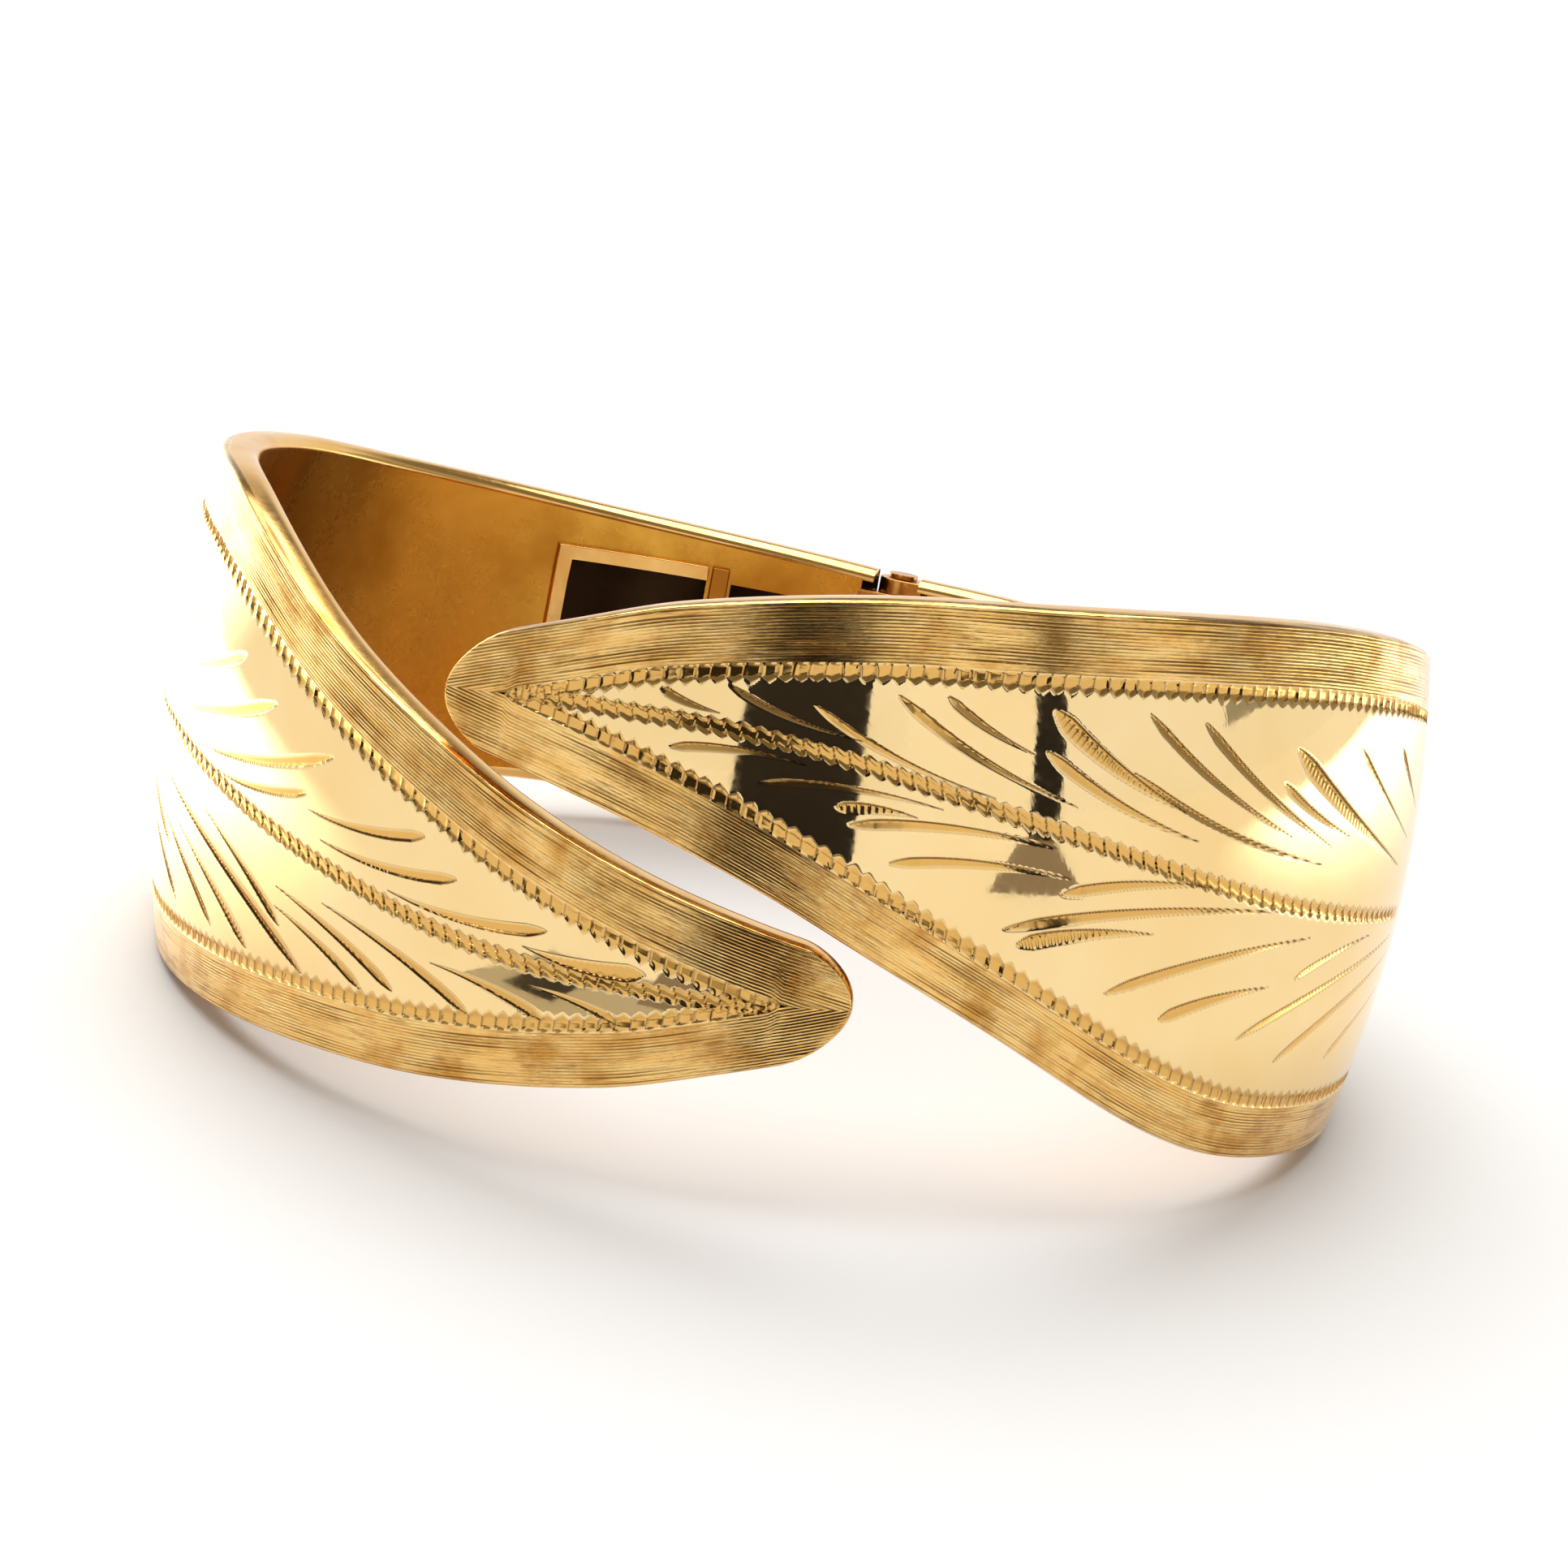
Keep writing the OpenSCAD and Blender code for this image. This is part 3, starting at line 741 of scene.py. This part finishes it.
for side, left, cuts in (("right", False, RIGHT_CUTS), ("left", True, LEFT_CUTS)):
    body = side + "_half"
    border = face_border(side + "_face_border", left)
    panel = face_panel(side + "_face_panel", left, cuts)
    for piece, node, slot in (
        (border, "wing_face", "engraved_gold"),
        (panel, "wing_face", "engraved_gold"),
        (face_back(side + "_face_back", left), "wing_face", "engraved_gold"),
        (edge_strip(side + "_rim", left), "edge_strip", "polished_gold"),
        (wing_liner(side + "_inner_sheet", left), "wing_liner", "inner_gold"),
        (window_frame(side + "_window_surround", left), "window_frame", "polished_gold"),
        (bridge_bar(side + "_window_bar", left), "bridge_bar", "polished_gold"),
    ):
        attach(piece, body)
        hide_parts(side + "_" + node)
    dress(side + "_hinge_plate", FITTING_SHADE_GOLD, 0.06)
    dress(side + "_knuckles", FITTING_SHADE_GOLD, 0.06)
    dress(side + "_stop_lugs", FITTING_SHADE_GOLD, 0.08)

dress("right_spring_guide", FITTING_SHADE_GOLD, 0.05)
dress("hinge_pin", SPRING_STEEL, 0.04)
dress("pin_caps", FITTING_SHADE_GOLD, 0.06)
dress("spring_rivet", SPRING_STEEL, 0.06)
spring = leaf_spring("flat_spring")
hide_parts("leaf_spring")
hinge_zone = placed([(-1.2, SPRING_Y, 0), (1.2, SPRING_Y, 0)], False)
tuple(hinge_zone[0])
tuple(hinge_zone[1])
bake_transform(spring)


# ---------------------------------------------------------------- floor, light and camera
def plain_material(name, colour, rough=0.9):
    """A material of one colour."""
    material, shader = new_material(name)[:2]
    shader.inputs["Base Color"].default_value = (*colour, 1)
    shader.inputs["Roughness"].default_value = rough
    return material


def card(name, centre, aim, width, height, material, hidden=True, turn=0):
    """A flat card that faces the point aim, turned in its plane. A hidden one is seen only in reflections."""
    mesh = bpy.data.meshes.new(name)
    w, h = width / 2, height / 2
    mesh.from_pydata([(-w, -h, 0), (w, -h, 0), (w, h, 0), (-w, h, 0)], [], [(0, 1, 2, 3)])
    mesh.materials.append(material)
    piece = bpy.data.objects.new(name, mesh)
    bpy.context.scene.collection.objects.link(piece)
    piece.location = centre
    facing = (Vector(centre) - Vector(aim)).to_track_quat("Z", "Y").to_matrix()
    piece.rotation_euler = (facing @ Matrix.Rotation(math.radians(turn), 3, "Z")).to_euler()
    piece.visible_camera = piece.visible_diffuse = piece.visible_shadow = not hidden
    return piece


def around(azimuth, elevation, distance, aim):
    """Point at a distance from aim. Azimuth 0 is in front (-Y), and 90 is on the right."""
    a, e = math.radians(azimuth), math.radians(elevation)
    direction = Vector((math.sin(a) * math.cos(e), -math.cos(a) * math.cos(e), math.sin(e)))
    return Vector(aim) + distance * direction


def glow(name, centre, aim, width, height, strength):
    """A hidden card of light that fades out from its middle, over whatever is behind it."""
    material = bpy.data.materials.new(name)
    material.use_nodes = True
    tree = material.node_tree
    tree.nodes.clear()
    output = tree.nodes.new("ShaderNodeOutputMaterial")
    both = tree.nodes.new("ShaderNodeAddShader")
    light = tree.nodes.new("ShaderNodeEmission")
    clear = tree.nodes.new("ShaderNodeBsdfTransparent")
    power = tree.nodes.new("ShaderNodeMapRange")
    falloff = tree.nodes.new("ShaderNodeTexGradient")
    scaled = tree.nodes.new("ShaderNodeMapping")
    place = tree.nodes.new("ShaderNodeTexCoord")
    falloff.gradient_type = "SPHERICAL"
    power.interpolation_type = "SMOOTHSTEP"
    power.inputs["From Max"].default_value = 0.7
    power.inputs["To Max"].default_value = strength
    scaled.inputs["Scale"].default_value = (2 / width, 2 / height, 1)
    for source, target in (
        (place.outputs["Object"], scaled.inputs["Vector"]),
        (scaled.outputs["Vector"], falloff.inputs["Vector"]),
        (falloff.outputs["Fac"], power.inputs["Value"]),
        (power.outputs["Result"], light.inputs["Strength"]),
        (light.outputs[0], both.inputs[0]),
        (clear.outputs[0], both.inputs[1]),
        (both.outputs[0], output.inputs["Surface"]),
    ):
        tree.links.new(source, target)
    return card(name, centre, aim, width, height, material)


AIM = Vector((0, -0.0005, 0.0117))
VIEW_AZ, VIEW_EL, VIEW_ROLL, VIEW_DISTANCE = 12.47, 18.37, 7.94, 0.1519

camera_data = bpy.data.cameras.new("camera")
camera_data.lens = 71.5
camera_data.sensor_width = 36
camera_data.shift_x, camera_data.shift_y = 0.0043, -0.0101
camera_data.clip_start, camera_data.clip_end = 0.01, 20
camera = bpy.data.objects.new("camera", camera_data)
bpy.context.scene.collection.objects.link(camera)
camera.location = around(VIEW_AZ, VIEW_EL, VIEW_DISTANCE, AIM)
level = (camera.location - AIM).to_track_quat("Z", "Y").to_matrix()
camera.rotation_euler = (level @ Matrix.Rotation(math.radians(VIEW_ROLL), 3, "Z")).to_euler()
bpy.context.scene.camera = camera

floor_white = plain_material("floor_white", (0.72, 0.72, 0.72), 0.6)
card("floor", (0, 0, 0), (0, 0, -1), 12, 12, floor_white, hidden=False)

# Hidden cards that give the polished gold something to mirror, as the room does in the photo
dark = plain_material("dark_card", (0.004, 0.002, 0.002))
dim = plain_material("dim_card", (0.16, 0.13, 0.11))
haze = plain_material("haze_card", (0.34, 0.33, 0.3))
grey = plain_material("grey_card", (0.95, 0.95, 0.93))
card("camera_shade", (0.0165, -0.105, 0.036), (0.0115, 0, 0.036), 0.032, 0.072, dark)
card("floor_shade", (0.012, -0.082, 0.0004), (0.012, -0.082, 1), 0.034, 0.046, dim)
card("side_shade", around(45, 10, 0.35, (0, 0, 0)), AIM, 0.03, 0.26, dark)
card("soft_shade", around(34, 16, 0.5, (0, 0, 0)), AIM, 0.2, 0.3, grey)
card("floor_side_shade", around(44, 0, 0.25, (0, 0, 0.0004)), around(44, 0, 0.25, (0, 0, -1)),
     0.034, 0.24, dim, turn=44)
card("right_shade", around(106, 19, 0.4, (0, 0, 0)), AIM, 0.42, 0.15, haze)
card("left_shade", around(-47, 18, 0.35, (0, 0, 0)), AIM, 0.15, 0.10, haze)
card("low_haze", (-0.012, -0.06, 0.0003), (-0.012, -0.06, -1), 0.024, 0.026, haze)
card("low_shade", (-0.0165, -0.06, 0.0005), (-0.0165, -0.06, -1), 0.007, 0.02, dark)

glow("left_box", (-0.13, 0.045, 0.05), (-0.02, -0.01, 0.012), 0.17, 0.16, 3)
glow("left_floor", (-0.09, 0.03, 0.001), (-0.09, 0.03, -1), 0.16, 0.19, 3.2)
glow("right_floor", (0.2, 0.09, 0.001), (0.2, 0.09, -1), 0.34, 0.28, 2.5)

SUN_POWER, SUN_SPREAD, SUN_TILT = 3.6, 66, (-12, -8, 0)
SKY_LOW, SKY_HIGH = (0.36, (1, 1, 1, 1)), (0.56, (0.22, 0.2, 0.17, 1))

sun_data = bpy.data.lights.new("ceiling", "SUN")
sun_data.energy = SUN_POWER
sun_data.angle = math.radians(SUN_SPREAD)
sun = bpy.data.objects.new("ceiling", sun_data)
bpy.context.scene.collection.objects.link(sun)
sun.rotation_euler = [math.radians(tilt) for tilt in SUN_TILT]

world = bpy.data.worlds.new("world")
bpy.context.scene.world = world
world.use_nodes = True
sky = world.node_tree
height = sky.nodes.new("ShaderNodeSeparateXYZ")
sky.links.new(sky.nodes.new("ShaderNodeTexCoord").outputs["Generated"], height.inputs[0])
ramp = sky.nodes.new("ShaderNodeValToRGB")
sky.links.new(height.outputs["Z"], ramp.inputs["Fac"])
for stop, (position, colour) in zip(ramp.color_ramp.elements, (SKY_LOW, SKY_HIGH)):
    stop.position = position
    stop.color = colour
sky.links.new(ramp.outputs["Color"], sky.nodes["Background"].inputs["Color"])
sky.nodes["Background"].inputs["Strength"].default_value = 1.0
bpy.context.scene.view_settings.view_transform = "Standard"
